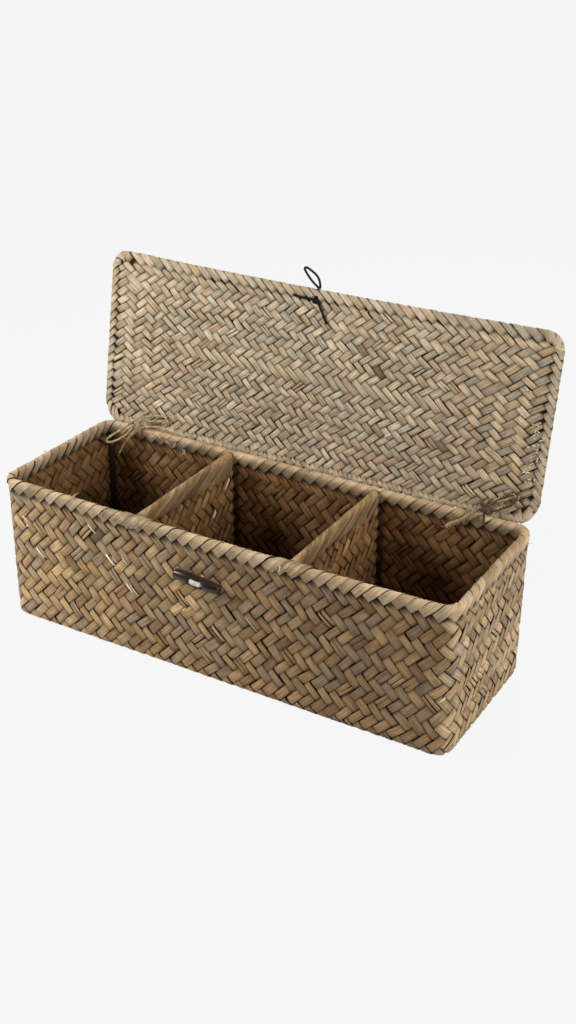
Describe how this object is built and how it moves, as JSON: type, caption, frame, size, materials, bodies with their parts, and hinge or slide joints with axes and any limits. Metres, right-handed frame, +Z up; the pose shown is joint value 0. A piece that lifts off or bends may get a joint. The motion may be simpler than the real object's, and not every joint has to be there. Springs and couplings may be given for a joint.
{
  "type": "woven lidded box",
  "caption": "Rectangular woven keepsake box with open compartments side by side, a lid on twine hinge ties, and a horn toggle with an elastic loop to hold it shut.",
  "frame": {"origin": "centre of the tray's underside", "axes": "+X along the box towards the right end seen from the front, +Y towards the hinge side, so the front with the toggle faces -Y, +Z up"},
  "size_m": [0.3953, 0.1946, 0.2703],
  "materials": {
    "wall_straw": "plaited palm leaf, matte, warm beige-brown",
    "inner_straw": "plaited palm leaf, matte, in the box's shade",
    "rim_straw": "folded palm leaf, matte, pale straw",
    "lid_straw": "fine plaited palm leaf, matte, greyish beige",
    "twine": "twisted natural twine, hairy",
    "stitch_twine": "twisted cream twine",
    "elastic": "black covered elastic cord",
    "horn": "polished dark brown horn"
  },
  "bodies": {
    "tray": {"tray_outer_weave": "wall_straw", "tray_inner_weave": "inner_straw", "rim_fold": "rim_straw", "divider_left": "wall_straw", "divider_right": "wall_straw", "hinge_ring_left": "twine", "hinge_ring_right": "twine", "tie_knot_left": "twine", "tie_knot_right": "twine", "bow_loop_left": "twine", "bow_tail_left": "twine", "bow_second_loop_left": "twine", "bow_second_tail_left": "twine", "bow_loop_right": "twine", "bow_tail_right": "twine", "toggle_stem": "stitch_twine", "toggle_stem_knot": "stitch_twine"},
    "lid": {"lid_inner_weave": "lid_straw", "lid_outer_weave": "lid_straw", "lid_edge_fold": "rim_straw", "elastic_knot": "elastic", "elastic_root": "elastic", "elastic_tail_left": "elastic", "elastic_tail_down": "elastic"},
    "elastic_loop": {"elastic_loop": "elastic"},
    "toggle": {"toggle": "horn", "toggle_stitch": "stitch_twine"}
  },
  "joints": [
    {"name": "lid_hinge", "type": "hinge", "parent": "tray", "child": "lid", "pos_m": [0, 0.0713, 0.1235], "axis": [-1, 0, 0], "range_deg": [-100, 72], "deforming": ["tie_knot_left", "tie_knot_right", "bow_loop_left", "bow_tail_left", "bow_second_loop_left", "bow_second_tail_left", "bow_loop_right", "bow_tail_right"]},
    {"name": "loop_swing", "type": "hinge", "parent": "lid", "child": "elastic_loop", "pos_m": [-0.0063, 0.09861, 0.26084], "axis": [1, 0, 0], "range_deg": [-38, 125], "stiffness_Nm_per_rad": 0.0001},
    {"name": "toggle_turn", "type": "hinge", "parent": "tray", "child": "toggle", "pos_m": [-0.0063, -0.0755, 0.088], "axis": [0, 1, 0], "range_deg": [-45, 45]}
  ]
}
